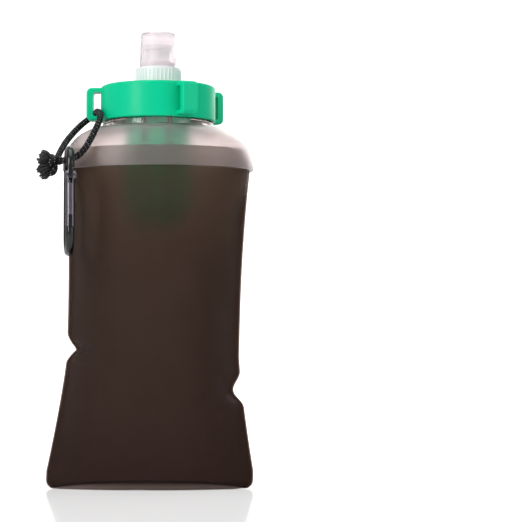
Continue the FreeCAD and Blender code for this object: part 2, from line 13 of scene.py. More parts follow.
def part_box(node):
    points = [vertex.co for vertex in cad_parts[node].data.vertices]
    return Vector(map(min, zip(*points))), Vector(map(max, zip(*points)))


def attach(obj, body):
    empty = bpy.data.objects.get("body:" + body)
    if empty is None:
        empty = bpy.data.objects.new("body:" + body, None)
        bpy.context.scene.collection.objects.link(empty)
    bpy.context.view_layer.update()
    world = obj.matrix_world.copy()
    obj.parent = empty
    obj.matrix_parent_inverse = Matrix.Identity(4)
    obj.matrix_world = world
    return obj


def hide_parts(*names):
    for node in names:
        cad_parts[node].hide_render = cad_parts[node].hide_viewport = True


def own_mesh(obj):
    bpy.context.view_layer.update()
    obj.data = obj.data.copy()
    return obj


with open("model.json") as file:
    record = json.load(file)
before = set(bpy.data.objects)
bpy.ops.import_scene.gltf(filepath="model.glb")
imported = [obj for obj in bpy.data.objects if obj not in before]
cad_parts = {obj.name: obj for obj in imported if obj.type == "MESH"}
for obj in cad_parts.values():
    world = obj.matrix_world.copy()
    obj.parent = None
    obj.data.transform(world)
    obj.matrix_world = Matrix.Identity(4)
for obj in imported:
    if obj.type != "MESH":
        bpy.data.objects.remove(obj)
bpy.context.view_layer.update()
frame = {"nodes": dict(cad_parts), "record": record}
MM = 0.001

# ---- camera: low and far away, with the object left of the middle ----
AIM = Vector((0.0688, 0.0, 0.1407))
EYE = Vector((0.0688, -1.4, 0.060))
FIELD_AT_AIM = 0.3236  # width of the view where the object stands

# ---- places read from the frame ----
SHOULDER_SKIRT = 1.2 * MM  # the shoulder's edge hangs this far below its lip
WELD_RISE = 0.6 * MM  # the film's weld starts this far above the shoulder's edge
CLEAR_NECK_H = 20.6 * MM  # the neck is clear from its rim this far down
CLEAR_FADE = 1.5 * MM  # height over which frosted turns clear
SHOULDER_LOW, SHOULDER_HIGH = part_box("neck_shoulder")
SHOULDER_HALF_W = (SHOULDER_HIGH[0] - SHOULDER_LOW[0]) / 2
SHOULDER_HALF_D = (SHOULDER_HIGH[1] - SHOULDER_LOW[1]) / 2
LIP_Z = SHOULDER_LOW[2] + SHOULDER_SKIRT
WELD_Z = SHOULDER_LOW[2] + WELD_RISE  # above it the film is welded in and rides with the shoulder
CLEAR_Z = SHOULDER_HIGH[2] - CLEAR_NECK_H
NECK_X = (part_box("lid_gasket")[0][0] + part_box("lid_gasket")[1][0]) / 2
FILM_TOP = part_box("pouch_front_panel")[1][2]

# ---- film pouch: its outline ----
BASE_HALF_W = 63.8 * MM
BASE_HALF_D = 30 * MM
WAIST_HALF_W = 53.2 * MM
BELLY_HALF_D = 39.5 * MM
BELLY_AT = 0.62  # share of the height at which that depth is reached
FLARE_START = 0.055  # the base's flare narrows to the waist between these shares of the height
FLARE_END = 0.415
FLARE_POWER = 1.25
WIDENING_START = 0.5  # share of the height from which the film widens to the shoulder
WIDENING_POWER = 2.2
CORNER_R = 5.5 * MM
DOME_TOP_R = 35 * MM
DOME_RISE = 25 * MM
FILM_GAP = 1.9 * MM  # from the shoulder's outside in to the film's outside
FILM_BOTTOM = 0.6 * MM
FILM_T = 0.7 * MM
FREE_BELOW = 0.86 * LIP_Z  # the film is slack below this height
HELD_ABOVE = 0.99 * LIP_Z  # and follows the shoulder above this one
LENS_SIDE = 2.3  # powers of the slack film's section, a lens with sharp edges
LENS_ROUND = 0.92

# ---- film pouch: seams, hems and folds ----
FIN = 1.5 * MM  # sealed edge strip at each side
FIN_HALF_T = 0.55 * MM
FIN_CORE_HALF_T = 0.3 * FIN_HALF_T  # half the gap between the skin's inner faces in that strip
FRONT_HEM_RISE = 4.6 * MM  # how far the middle of each lower hem arches up
BACK_HEM_RISE = 1.2 * MM
HEM_ARCH_POWER = 2.4
HEM_REACH = 26 * MM  # the film above the hem arches with it up to here
SEAM_CALM = 0.25  # waves and creases fade out over this share of the half width at each seam
DENT_START = 0.55  # share of the half width from which a side's dent pulls the film in
WAVES = (  # per metre across, per metre up, seed, height
    (26, 17, 3.1, 1.9 * MM),
    (70, 46, 7.7, 0.55 * MM),
)
DENTS = (  # side, height, depth, reach above, reach below, power of its slope (none: an S-curve)
    (-1, 86.0 * MM, 6.0 * MM, 10.0 * MM, 8.0 * MM, 1.5),
    (1, 60.5 * MM, 5.4 * MM, 12.0 * MM, 10.0 * MM, None),
)
CREASES = (  # in mm: start x, z; end x, z; depth; width; and which wall (-1 front, 1 back, 0 both)
    (-50, 86, -26, 79, 3.0, 5.0, 0),
    (-50, 88, -34, 99, 1.8, 4.5, -1),
    (-52, 84, -44, 62, 1.6, 4.5, -1),
    (-50, 85, -30, 70, 1.2, 4.0, 1),
    (55, 60.5, 30, 50, 2.6, 5.0, 0),
    (55, 61, 40, 72, 1.8, 4.5, -1),
    (56, 59, 47, 42, 1.4, 4.0, 1),
    (57, 36, 53, 12, 2.4, 3.2, -1),
    (-58, 34, -50, 14, 1.8, 4.5, -1),
    (50, 196, 30, 186, 0.8, 6.0, -1),
    (-44, 190, -24, 180, 0.8, 7.0, -1),
    (40, 120, 54, 104, 1.0, 6.0, -1),
    (-40, 130, -51, 116, 0.9, 6.0, 1),
)
CREASE_HOLD = 0.35  # share of a crease's length before it fades
CREASE_FADE = 0.85  # how much of its depth is gone at its end
VALLEY_SHARPNESS = 1.6
RIDGE_SHARPNESS = 1.8
RIDGE_AT = 1.5  # the low ridge beside a crease, in widths from its valley
RIDGE_SHARE = 0.22  # its height as a share of the crease's depth
COLUMNS = 132  # points round the film
SEAM_CROWDING = 0.22  # how much closer together they are near the seams
ROWS = 112  # rings up the free film
WELDED_ROWS = 9
WELD_GAP = 0.1 * MM  # between the free film and its welded edge, so that no faces coincide

# ---- gusset: the base sheet ----
GUSSET_T = 0.7 * MM
GUSSET_GAP = 0.15 * MM  # from the film's inside to the sheet's edge
HEM_H = 4.5 * MM  # sealed strip along each lower hem
GUSSET_EDGE_RISE = 0.35 * HEM_H  # the sheet is welded in this far above the hem's lower edge
GUSSET_TOP_Z = 0.85 * MM  # height of the sheet's top where it lies on the surface
GUSSET_END = 0.02  # share of the half turn left free at each seam
SAG_POWER = 16  # how sharply the sheet drops from its edge to the surface
PLEAT_H = 0.5 * MM
GUSSET_ACROSS = 72
GUSSET_DEEP = 26

# ---- cord: the route's points are the ones of the CAD tube ----
CORD_R = 2.0 * MM
KNOT_MIDDLE = Vector((-0.0574, -0.0352, 0.1974))
CORD_ROUTE = (
    (-0.0556, -0.0308, 0.2002),
    (-0.0546, -0.0246, 0.2046),
    (-0.0532, -0.0166, 0.2096),
    (-0.0508, -0.0080, 0.2154),
    (-0.0470, 0.0002, 0.2216),
    (-0.0426, 0.0062, 0.2270),
    (-0.0384, 0.0096, 0.2308),
    (-0.0346, 0.0090, 0.2328),
    (-0.0331, 0.0052, 0.2334),
    (-0.0331, -0.0064, 0.2332),
    (-0.0306, -0.0146, 0.2318),
    (-0.0294, -0.0220, 0.2274),
    (-0.0314, -0.0284, 0.2206),
    (-0.0346, -0.0332, 0.2128),
    (-0.0386, -0.0368, 0.2054),
    (-0.0436, -0.0384, 0.2008),
    (-0.0494, -0.0382, 0.2000),
    (-0.0542, -0.0370, 0.1984),
)

# ---- cord: braid, knot and frayed ends ----
YARNS = 8  # in each of the two directions
PALE_YARNS = (1, 5)
LAY = 5.2 * MM  # length in which a yarn goes once round
YARN_RELIEF = 0.24 * MM
YARN_CROWN = 0.6  # powers: the lower, the flatter a yarn's back and the hump where it crosses another
YARN_HUMP = 0.5
HUMP_SHARE = 0.65  # share of the relief that the crossings make
AROUND = 48  # points round a braided tube
RING_STEP = 0.3 * MM
KNOT_SIZE = 1.75 * MM  # scale of the trefoil that the knot follows
KNOT_STRAND_R = 2.0 * MM
KNOT_POINTS = 36
KNOT_AXIS = Vector((0.25, 0.1, 0.5))  # where the trefoil's Z axis points
TAILS = (  # name, where it leaves the knot, its direction, seed
    ("cord_tail_low", (-0.0016, 0.0, -0.0022), (-0.85, -0.1, -0.5), 1.0),
    ("cord_tail_high", (-0.0016, 0.001, 0.0022), (-0.9, 0.1, 0.42), 2.0),
)
TAIL_LENGTH = 8.2 * MM
TAIL_CORE_R = 1.3 * MM  # radius that the yarns fill where they leave the knot
TAIL_BULGE = 3.4 * MM  # and what they bulge out by
TAIL_SWAY = 2.2 * MM
TAIL_YARN_R = 0.55 * MM
TAIL_YARNS = 58
TAIL_STEPS = 9
TAIL_SIDES = 6
GOLDEN_ANGLE = 2.39996  # spreads the yarns evenly over a disc

# ---- stage and light ----
FLOOR_HALF_W = 2.5
FLOOR_NEAR_Y = -3.0
WALL_Y = 1.6
WALL_TOP = 3.0
COVE_R = 0.5
COVE_STEPS = 12
LAMPS = (  # name, place, width and height, watts
    ("key", (-0.95, -1.05, 0.75), (0.5, 1.1), 12.5),
    ("fill", (1.2, -0.8, 0.45), (0.6, 1.2), 3.6),
    ("top", (0.0, -0.1, 1.5), (1.2, 1.2), 8),
    ("back", (0.5, 1.1, 0.8), (1.0, 1.0), 6),
)
LAMP_AIM = Vector((0, 0, 0.14))
GLOW_NEAR = 0.42  # strength of the floor's glow up to 0.1 m behind the object
GLOW_FAR = 0.7  # and from 0.9 m on
WORLD_LIGHT = 0.4  # the world's strength as a light; where it is seen it is a plain white


# ---- materials ----
class Finish:
    """A procedural material: one Principled shader with a few nodes that vary it."""

    def __init__(self, name, colour, roughness, **inputs):
        self.material = bpy.data.materials.new(name)
        self.material.use_nodes = True
        self.tree = self.material.node_tree
        self.shader = self.tree.nodes["Principled BSDF"]
        self.shader.inputs["Base Color"].default_value = (*colour, 1)
        self.shader.inputs["Roughness"].default_value = roughness
        for key, value in inputs.items():
            self.shader.inputs[key.replace("_", " ")].default_value = value
        self.place = self.add("ShaderNodeTexCoord").outputs["Object"]

    def add(self, kind, **settings):
        node = self.tree.nodes.new(kind)
        for key, value in settings.items():
            setattr(node, key, value)
        return node

    def link(self, a, b):
        self.tree.links.new(a, b)

    def along(self, axis):
        """The object coordinate along one axis, in metres."""
        split = self.add("ShaderNodeSeparateXYZ")
        self.link(self.place, split.inputs["Vector"])
        return split.outputs[axis]

    def stretched(self, scale):
        """Object coordinates in metres, times a scale for each axis."""
        mapping = self.add("ShaderNodeMapping")
        mapping.inputs["Scale"].default_value = scale
        self.link(self.place, mapping.inputs["Vector"])
        return mapping.outputs["Vector"]

    def noise(self, scale, detail, where=None):
        texture = self.add("ShaderNodeTexNoise")
        texture.inputs["Scale"].default_value = scale
        texture.inputs["Detail"].default_value = detail
        self.link(where or self.place, texture.inputs["Vector"])
        return texture.outputs["Fac"]

    def bands(self, scale, direction):
        texture = self.add("ShaderNodeTexWave", wave_type="BANDS", bands_direction=direction)
        texture.inputs["Scale"].default_value = scale
        self.link(self.place, texture.inputs["Vector"])
        return texture.outputs["Fac"]

    def maths(self, operation, *values):
        """A math node on sockets and numbers."""
        node = self.add("ShaderNodeMath", operation=operation)
        for socket, value in zip(node.inputs, values):
            if isinstance(value, float):
                socket.default_value = value
            else:
                self.link(value, socket)
        return node.outputs["Value"]

    def spread(self, value, low, high, out_low, out_high):
        """A value between low and high, carried over to between out_low and out_high."""
        node = self.add("ShaderNodeMapRange")
        self.link(value, node.inputs["Value"])
        node.inputs["From Min"].default_value = low
        node.inputs["From Max"].default_value = high
        node.inputs["To Min"].default_value = out_low
        node.inputs["To Max"].default_value = out_high
        return node.outputs["Result"]

    def colours(self, value, *stops):
        """The base colour from a ramp, whose stops are a position and a colour each."""
        ramp = self.add("ShaderNodeValToRGB")
        self.link(value, ramp.inputs["Fac"])
        elements = ramp.color_ramp.elements
        while len(elements) < len(stops):
            elements.new(0.5)
        for element, (at, colour) in zip(elements, stops):
            element.position = at
            element.color = (*colour, 1)
        self.link(ramp.outputs["Color"], self.shader.inputs["Base Color"])

    def rough(self, value):
        self.link(value, self.shader.inputs["Roughness"])

    def bump(self, value, strength, distance):
        node = self.add("ShaderNodeBump")
        node.inputs["Strength"].default_value = strength
        node.inputs["Distance"].default_value = distance
        self.link(value, node.inputs["Height"])
        self.link(node.outputs["Normal"], self.shader.inputs["Normal"])


def film_finish():
    """Smoky film, with painted light: its colour grows lighter towards the shoulder, standing for light
    that comes in through the dome, and less so at the back.
    """
    f = Finish(
        "smoky film",
        (0.2, 0.15, 0.12),
        0.95,
        Transmission_Weight=0.86,
        IOR=1.085,
        Specular_IOR_Level=0.1,
    )
    # painted light: the colour lightens towards the shoulder, most on the front wall; the noise adds
    # random cloudiness
    front = f.spread(f.along("Y"), -12 * MM, 12 * MM, 1.0, 0.35)
    high = f.spread(f.along("Z"), 20 * MM, 205 * MM, 0.12, 0.95)
    cloud_and_painted_glow = f.maths("MULTIPLY_ADD", f.noise(16, 2), 0.12, f.maths("MULTIPLY", front, high))
    f.colours(
        cloud_and_painted_glow,
        (0.05, (0.128, 0.083, 0.073)),
        (0.3, (0.162, 0.112, 0.096)),
        (0.7, (0.176, 0.127, 0.105)),
        (1.0, (0.262, 0.205, 0.160)),
    )
    f.rough(f.spread(f.noise(60, 3), 0.3, 0.7, 0.92, 0.99))
    f.bump(f.noise(900, 2), 0.12, 0.0002)
    return f.material


def gusset_finish():
    """The base sheet, with painted light and shade: painted shade darkens it at its welded edge, and it
    is paler low down, where the floor lights it.
    """
    f = Finish("base sheet", (0.3, 0.21, 0.19), 0.6, Transmission_Weight=0.35, IOR=1.2)
    # painted shade under the hem at the welded edge, and painted floor light low down
    low = f.spread(f.along("Z"), 0.0, 5 * MM, 1.0, 0.0)
    f.colours(low, (0.1, (0.07, 0.045, 0.04)), (0.95, (0.36, 0.27, 0.24)))
    f.bump(f.noise(500, 3), 0.15, 0.0002)
    return f.material


def frosted_finish():
    """Frosted below the bead, clear on the neck above it."""
    f = Finish("frosted shoulder", (0.86, 0.775, 0.765), 0.4, Transmission_Weight=0.93, IOR=1.4)
    f.rough(f.spread(f.along("Z"), CLEAR_Z, CLEAR_Z + CLEAR_FADE, 0.36, 0.05))
    f.bump(f.noise(1400, 2), 0.08, 0.0001)
    return f.material


def green_finish():
    """Glossy green plastic with a little light in its depth."""
    f = Finish(
        "green gloss",
        (0.0, 0.58, 0.29),
        0.36,
        Coat_Weight=0.06,
        Coat_Roughness=0.2,
        Specular_IOR_Level=0.13,
        Subsurface_Weight=0.08,
        Subsurface_Radius=(0.0004, 0.004, 0.002),
    )
    f.colours(f.noise(9, 1), (0.2, (0.0, 0.62, 0.315)), (0.8, (0.0, 0.585, 0.29)))
    f.rough(f.spread(f.noise(120, 4), 0.3, 0.7, 0.32, 0.42))
    f.bump(f.noise(260, 2), 0.05, 0.0004)
    return f.material


def cage_finish():
    """The same green in a thinner, matt moulding that light comes through."""
    f = Finish(
        "green cage",
        (0.0, 0.86, 0.46),
        0.55,
        Subsurface_Weight=0.3,
        Subsurface_Radius=(0.001, 0.008, 0.004),
    )
    f.colours(f.noise(20, 2), (0.2, (0.0, 0.84, 0.45)), (0.8, (0.0, 0.90, 0.49)))
    f.bump(f.noise(300, 2), 0.06, 0.0003)
    return f.material


def white_finish():
    f = Finish(
        "white collar",
        (0.84, 0.85, 0.86),
        0.34,
        Subsurface_Weight=0.15,
        Subsurface_Radius=(0.003, 0.003, 0.003),
    )
    f.colours(f.noise(30, 2), (0.2, (0.95, 0.91, 0.94)), (0.8, (0.91, 0.885, 0.91)))
    f.bump(f.noise(900, 2), 0.05, 0.0001)
    return f.material


def nozzle_finish():
    f = Finish(
        "soft nozzle",
        (0.95, 0.94, 0.95),
        0.42,
        Subsurface_Weight=0.25,
        Subsurface_Radius=(0.004, 0.004, 0.004),
    )
    f.bump(f.noise(700, 2), 0.06, 0.0001)
    return f.material


def clear_finish():
    f = Finish("clear cap", (0.96, 0.905, 0.925), 0.25, Transmission_Weight=0.8, IOR=1.33)
    f.rough(f.spread(f.noise(40, 3), 0.3, 0.7, 0.21, 0.27))
    return f.material


def silicone_finish():
    f = Finish("silicone seal", (0.78, 0.78, 0.77), 0.55)
    f.bump(f.noise(600, 3), 0.1, 0.0001)
    return f.material


def rubber_finish():
    f = Finish("black rubber", (0.02, 0.02, 0.02), 0.6)
    f.bump(f.noise(800, 3), 0.15, 0.0001)
    return f.material


def fibre_finish():
    """Fine upright fibres packed side by side."""
    f = Finish("hollow fibre", (0.9, 0.89, 0.86), 0.7, Sheen_Weight=0.3)
    strands = f.noise(1, 3, f.stretched((1600, 1600, 40)))
    f.colours(strands, (0.3, (0.78, 0.77, 0.73)), (0.65, (0.93, 0.92, 0.90)))
    f.bump(strands, 0.6, 0.0004)
    return f.material


def mesh_finish():
    """A fine knit whose stitches are longer than wide."""
    f = Finish("filter mesh", (0.86, 0.87, 0.88), 0.6, Sheen_Weight=0.2)
    knit = f.noise(1, 0, f.stretched((900, 900, 300)))
    f.colours(knit, (0.38, (0.45, 0.46, 0.47)), (0.55, (0.9, 0.91, 0.92)))
    f.bump(knit, 0.8, 0.0005)
    return f.material


def yarn_finish(name, colour, roughness):
    f = Finish(
        name,
        colour,
        roughness,
        Sheen_Weight=0.06,
        Sheen_Roughness=0.4,
        Specular_IOR_Level=0.15,
    )
    f.bump(f.noise(2600, 3), 0.5, 0.0002)
    return f.material


def tail_finish():
    """Yarn ends, singed and a little shiny."""
    f = Finish("singed yarn", (0.008, 0.008, 0.009), 0.32)
    f.colours(f.noise(700, 2), (0.35, (0.005, 0.005, 0.006)), (0.8, (0.035, 0.033, 0.035)))
    f.bump(f.noise(2200, 3), 0.5, 0.0003)
    return f.material


def anodised_finish():
    f = Finish("black anodised", (0.004, 0.004, 0.0045), 0.2, Coat_Weight=0.2, Coat_Roughness=0.08)
    f.rough(f.spread(f.noise(300, 4), 0.3, 0.75, 0.14, 0.26))
    f.bump(f.noise(500, 2), 0.04, 0.0002)
    return f.material


def steel_finish():
    """Brushed along its length, which stands upright."""
    f = Finish("gunmetal gate", (0.17, 0.16, 0.18), 0.3, Metallic=1.0)
    brush = f.noise(1, 4, f.stretched((2500, 2500, 60)))
    f.colours(brush, (0.3, (0.11, 0.10, 0.12)), (0.7, (0.23, 0.21, 0.24)))
    f.rough(f.spread(brush, 0.3, 0.7, 0.24, 0.38))
    f.bump(brush, 0.12, 0.0001)
    return f.material


def spring_finish():
    """Its bands stand for the turns of the wire."""
    f = Finish("spring steel", (0.6, 0.6, 0.62), 0.3, Metallic=1.0)
    f.bump(f.bands(700, "Z"), 0.6, 0.0003)
    return f.material


FINISH = {
    "film": film_finish(),
    "gusset": gusset_finish(),
    "frosted": frosted_finish(),
    "green": green_finish(),
    "cage": cage_finish(),
    "white": white_finish(),
    "nozzle": nozzle_finish(),
    "clear": clear_finish(),
    "silicone": silicone_finish(),
    "oring": rubber_finish(),
    "fibre": fibre_finish(),
    "mesh": mesh_finish(),
    "cord": yarn_finish("black yarn", (0.006, 0.006, 0.0065), 0.5),
    "fleck": yarn_finish("grey yarn", (0.5, 0.48, 0.49), 0.6),
    "tail": tail_finish(),
    "black_metal": anodised_finish(),
    "steel": steel_finish(),
    "spring": spring_finish(),
}


def finish_cad_nodes():
    """Every CAD node gets the finish of its material slot, and the cage its own kind of green."""
    for subpart in frame["record"]["subparts"]:
        key = "cage" if subpart["node"] == "filter_cage" else subpart["material_slot"]
        node = frame["nodes"][subpart["node"]]
        node.data.materials.clear()
        node.data.materials.append(FINISH[key])


# ---- mesh helpers ----
def mesh_object(name, points, faces, finishes, face_finish=None):
    """A smooth mesh; face_finish says which of its finishes each face has."""
    mesh = bpy.data.meshes.new(name)
    mesh.from_pydata([tuple(p) for p in points], [], faces)
    piece = bpy.data.objects.new(name, mesh)
    bpy.context.scene.collection.objects.link(piece)
    for key in finishes:
        mesh.materials.append(FINISH[key])
    mesh.polygons.foreach_set("use_smooth", [True] * len(faces))
    if face_finish:
        mesh.polygons.foreach_set("material_index", face_finish)
    mesh.validate()
    return piece


def ring_faces(rings, around, close_ends=False, closed=False):
    """Quads between rings of points, each ring closed on itself."""
    faces = []
    last = rings if closed else rings - 1
    for i in range(last):
        a, b = i * around, (i + 1) % rings * around
        for k in range(around):
            n = (k + 1) % around
            faces.append((a + k, a + n, b + n, b + k))
    if close_ends:
        faces.append(tuple(reversed(range(around))))
        faces.append(tuple(range((rings - 1) * around, rings * around)))
    return faces


def smooth_step(low, high, value):
    """0 up to low, 1 from high on, and an S-curve between them."""
    t = min(1.0, max(0.0, (value - low) / (high - low)))
    return t * t * (3 - 2 * t)


# ---- film pouch ----
def film_outline(z):
    """Half width, half depth and middle of the film at a height."""
    if z > LIP_Z:
        run = math.sqrt(1 - ((z - LIP_Z) / (DOME_RISE - FILM_GAP)) ** 2)
        half_w = DOME_TOP_R + (SHOULDER_HALF_W - DOME_TOP_R) * run - FILM_GAP
        half_d = DOME_TOP_R + (SHOULDER_HALF_D - DOME_TOP_R) * run - FILM_GAP
        return half_w, half_d, NECK_X
    up = z / LIP_Z
    top_w = SHOULDER_HALF_W - FILM_GAP
    top_d = SHOULDER_HALF_D - FILM_GAP
    flare = min(1.0, max(0.0, 1 - (up - FLARE_START) / (FLARE_END - FLARE_START)))
    half_w = WAIST_HALF_W + flare**FLARE_POWER * (BASE_HALF_W - WAIST_HALF_W)
    corner = max(0.0, 1 - z / CORNER_R)
    half_w -= CORNER_R * (1 - math.sqrt(1 - corner * corner))
    widening = max(0.0, (up - WIDENING_START) / (1 - WIDENING_START)) ** WIDENING_POWER
    half_w += widening * (top_w - WAIST_HALF_W)
    belly = math.sin(math.pi / 2 * min(1.0, up / BELLY_AT))
    half_d = BASE_HALF_D + belly * (BELLY_HALF_D - BASE_HALF_D)
    half_d += max(0.0, (up - BELLY_AT) / (1 - BELLY_AT)) * (top_d - BELLY_HALF_D)
    return half_w, half_d, NECK_X * up


def dent(side, z):
    """How far a side of the film is pulled in at a height."""
    depth = 0.0
    for where, middle, deepest, above, below, power in DENTS:
        if where == side:
            reach = above if z > middle else below
            near = max(0.0, 1 - abs(z - middle) / reach)
            depth += deepest * (near**power if power else smooth_step(0, 1, near))
    return depth


def crease(side, x, z):
    """How far a wall is folded in at a place: a valley along each crease, with a low ridge beside it."""
    total = 0.0
    here = Vector((x, z)) / MM
    for x0, z0, x1, z1, depth, width, wall in CREASES:
        if wall not in (0, side):
            continue
        start, along = Vector((x0, z0)), Vector((x1 - x0, z1 - z0))
        share = max(0.0, min(1.0, (here - start).dot(along) / along.length_squared))
        off = (here - start - along * share).length / width
        fade = 1 - smooth_step(CREASE_HOLD, 1.0, share) * CREASE_FADE
        valley = math.exp(-off * off * VALLEY_SHARPNESS)
        ridge = math.exp(-((off - RIDGE_AT) ** 2) * RIDGE_SHARPNESS)
        total += depth * MM * fade * (valley - RIDGE_SHARE * ridge)
    return total


def ripple(side, x, z):
    """The film's small waves: how far a wall stands out at a place."""
    return sum(
        noise.noise(Vector((x * across, z * up, side * seed))) * height
        for across, up, seed, height in WAVES
    )


def film_point(z, turn, inset):
    """A point on the film; turn runs from the right seam over the front to the left seam."""
    half_w, half_d, middle = film_outline(z)
    side = -1 if turn < math.pi else 1
    across = math.cos(turn)
    edge = -1 if across < 0 else 1
    soft = 1 - smooth_step(FREE_BELOW, HELD_ABOVE, z)  # 1 on the slack film, 0 at the shoulder
    half_w -= dent(edge, z) * smooth_step(DENT_START, 1.0, abs(across)) * soft
    x = middle + half_w * across
    inner_w = half_w - FIN * soft
    share = min(1.0, abs(x - middle) / inner_w)
    round_wall = math.sqrt(max(0.0, 1 - share * share))
    lens_wall = max(0.0, 1 - share**LENS_SIDE) ** LENS_ROUND
    wall = half_d * (round_wall * (1 - soft) + lens_wall * soft)
    away = smooth_step(0.0, SEAM_CALM, 1 - share)
    wall += (ripple(side, x, z) - crease(side, x, z)) * away * soft
    wall = max(wall, FIN_HALF_T)
    lift = 1 - smooth_step(0.0, HEM_REACH, z)
    hem_rise = FRONT_HEM_RISE if side < 0 else BACK_HEM_RISE
    hem = hem_rise * (1 - min(1.0, abs(x - middle) / half_w) ** HEM_ARCH_POWER)
    y = side * max(wall - inset, FIN_CORE_HALF_T)
    return Vector((x - inset * across, y, z + hem * lift))


def film_turns():
    """Angles round the film, closer together near the two seams."""
    turns = []
    for k in range(COLUMNS):
        t = 2 * math.pi * (k + 0.5) / COLUMNS
        turns.append(t - SEAM_CROWDING * math.sin(2 * t))
    return turns


def film_skin(name, low, high, rows):
    """One closed skin: outside up, over the top edge, inside down and back under the lower edge."""
    turns = film_turns()
    heights = [low + (high - low) * k / (rows - 1) for k in range(rows)]
    points = [film_point(z, t, 0.0) for z in heights for t in turns]
    points += [film_point(z, t, FILM_T) for z in reversed(heights) for t in turns]
    skin = mesh_object(name, points, ring_faces(2 * rows, COLUMNS, closed=True), ["film"])
    return skin


def make_film():
    """The free film rides with the pouch as it is pressed down, and its welded top edge stays with the
    neck.
    """
    film = film_skin("pouch_film", FILM_BOTTOM, WELD_Z, ROWS)
    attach(film, "pouch")
    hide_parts("pouch_front_panel", "pouch_back_panel")
    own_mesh(film)
    welded = film_skin("pouch_film_welded_edge", WELD_Z + WELD_GAP, FILM_TOP, WELDED_ROWS)
    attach(welded, "neck")


def gusset_point(front, back, share):
    """A point on the base sheet's top, at a share of the way from the front hem to the back one."""
    point = front.lerp(back, share)
    sag = 1 - abs(2 * share - 1) ** SAG_POWER
    point.z = point.z * (1 - sag) + GUSSET_TOP_Z * sag
    pleat = noise.noise(Vector((point.x * 60, point.y * 40, 2.0))) * PLEAT_H
    point.z += max(0.0, pleat) * sag
    return point


def make_gusset():
    """The base sheet: welded inside the two hems, sagging to the surface between them."""
    inset = FILM_T + GUSSET_GAP
    rise = Vector((0, 0, GUSSET_EDGE_RISE))
    top = []
    for i in range(GUSSET_ACROSS + 1):
        turn = math.pi * (GUSSET_END + (1 - 2 * GUSSET_END) * i / GUSSET_ACROSS)
        front = film_point(FILM_BOTTOM, turn, inset) + rise
        back = film_point(FILM_BOTTOM, 2 * math.pi - turn, inset) + rise
        top += [gusset_point(front, back, j / GUSSET_DEEP) for j in range(GUSSET_DEEP + 1)]
    bottom = [point - Vector((0, 0, GUSSET_T)) for point in top]
    count = len(top)
    row = GUSSET_DEEP + 1
    faces = []
    for i in range(GUSSET_ACROSS):
        for j in range(GUSSET_DEEP):
            a, b = i * row + j, (i + 1) * row + j
            faces.append((a, a + 1, b + 1, b))
            faces.append((count + a, count + b, count + b + 1, count + a + 1))
    rim = [i * row for i in range(GUSSET_ACROSS)]
    rim += [GUSSET_ACROSS * row + j for j in range(GUSSET_DEEP)]
    rim += [i * row + GUSSET_DEEP for i in range(GUSSET_ACROSS, 0, -1)]
    rim += range(GUSSET_DEEP, 0, -1)
    for a, b in zip(rim, rim[1:] + rim[:1]):
        faces.append((a, b, count + b, count + a))
    gusset = mesh_object("pouch_gusset", top + bottom, faces, ["gusset"])
    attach(gusset, "pouch")
    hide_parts("pouch_base_panel")


# ---- cord ----
def route_points(name, points, cyclic=False):
    """Close points along the NURBS line that has a route's points as its control points."""
    curve = bpy.data.curves.new(name, "CURVE")
    curve.dimensions = "3D"
    curve.resolution_u = 24
    spline = curve.splines.new("NURBS")
    spline.points.add(len(points) - 1)
    for control, place in zip(spline.points, points):
        control.co = (*place, 1)
    spline.use_cyclic_u = cyclic
    spline.order_u = 3
    spline.use_endpoint_u = not cyclic
    line = bpy.data.objects.new(name, curve)
    bpy.context.scene.collection.objects.link(line)
    mesh = bpy.data.meshes.new_from_object(line)
    path = [v.co.copy() for v in mesh.vertices]
    bpy.data.objects.remove(line)
    bpy.data.curves.remove(curve)
    bpy.data.meshes.remove(mesh)
    return path


def evenly(path, step, cyclic=False):
    """The same line with points about a step apart, and its length."""
    line = path + path[:1] if cyclic else path
    lengths = [0.0]
    for a, b in zip(line, line[1:]):
        lengths.append(lengths[-1] + (b - a).length)
    count = max(2, round(lengths[-1] / step))
    result, k = [], 0
    for i in range(count if cyclic else count + 1):
        want = lengths[-1] * i / count
        while k < len(lengths) - 2 and lengths[k + 1] < want:
            k += 1
        share = (want - lengths[k]) / max(1e-9, lengths[k + 1] - lengths[k])
        result.append(line[k].lerp(line[k + 1], min(1.0, share)))
    return result, lengths[-1]


def braid(turn, along):
    """Relief from 0 to 1 and whether the yarn on top is a pale one, for a round braid."""
    a = YARNS * (turn / (2 * math.pi) + along / LAY)
    b = YARNS * (turn / (2 * math.pi) - along / LAY)
    over = (math.floor(a) + math.floor(b)) % 2 == 0
    own, other = (a, b) if over else (b, a)
    crown = math.sin(math.pi * (own % 1.0)) ** YARN_CROWN
    hump = math.sin(math.pi * (other % 1.0)) ** YARN_HUMP
    pale = over and math.floor(own) % YARNS in PALE_YARNS
    return crown * (1 - HUMP_SHARE + HUMP_SHARE * hump), pale


def braided_tube(name, path, radius, cyclic=False):
    """A tube along a path, with the braid's relief and its pale yarns."""
    rings, length = evenly(path, RING_STEP, cyclic)
    points, pale = [], []
    side = Vector((0.3, 0.2, 1.0))
    count = len(rings)
    for i, middle in enumerate(rings):
        before = rings[i - 1] if cyclic or i else rings[0]
        after = rings[(i + 1) % count] if cyclic or i < count - 1 else rings[-1]
        heading = (after - before).normalized()
        side = (side - heading * side.dot(heading)).normalized()
        up = heading.cross(side)
        for k in range(AROUND):
            turn = 2 * math.pi * k / AROUND
            relief, light = braid(turn, length * i / count)
            reach = radius - YARN_RELIEF * (1 - relief)
            points.append(middle + (side * math.cos(turn) + up * math.sin(turn)) * reach)
            pale.append(light)
    faces = ring_faces(count, AROUND, close_ends=not cyclic, closed=cyclic)
    face_finish = [int(pale[f[0]] and pale[f[2]]) if len(f) == 4 else 0 for f in faces]
    return mesh_object(name, points, faces, ["cord", "fleck"], face_finish)


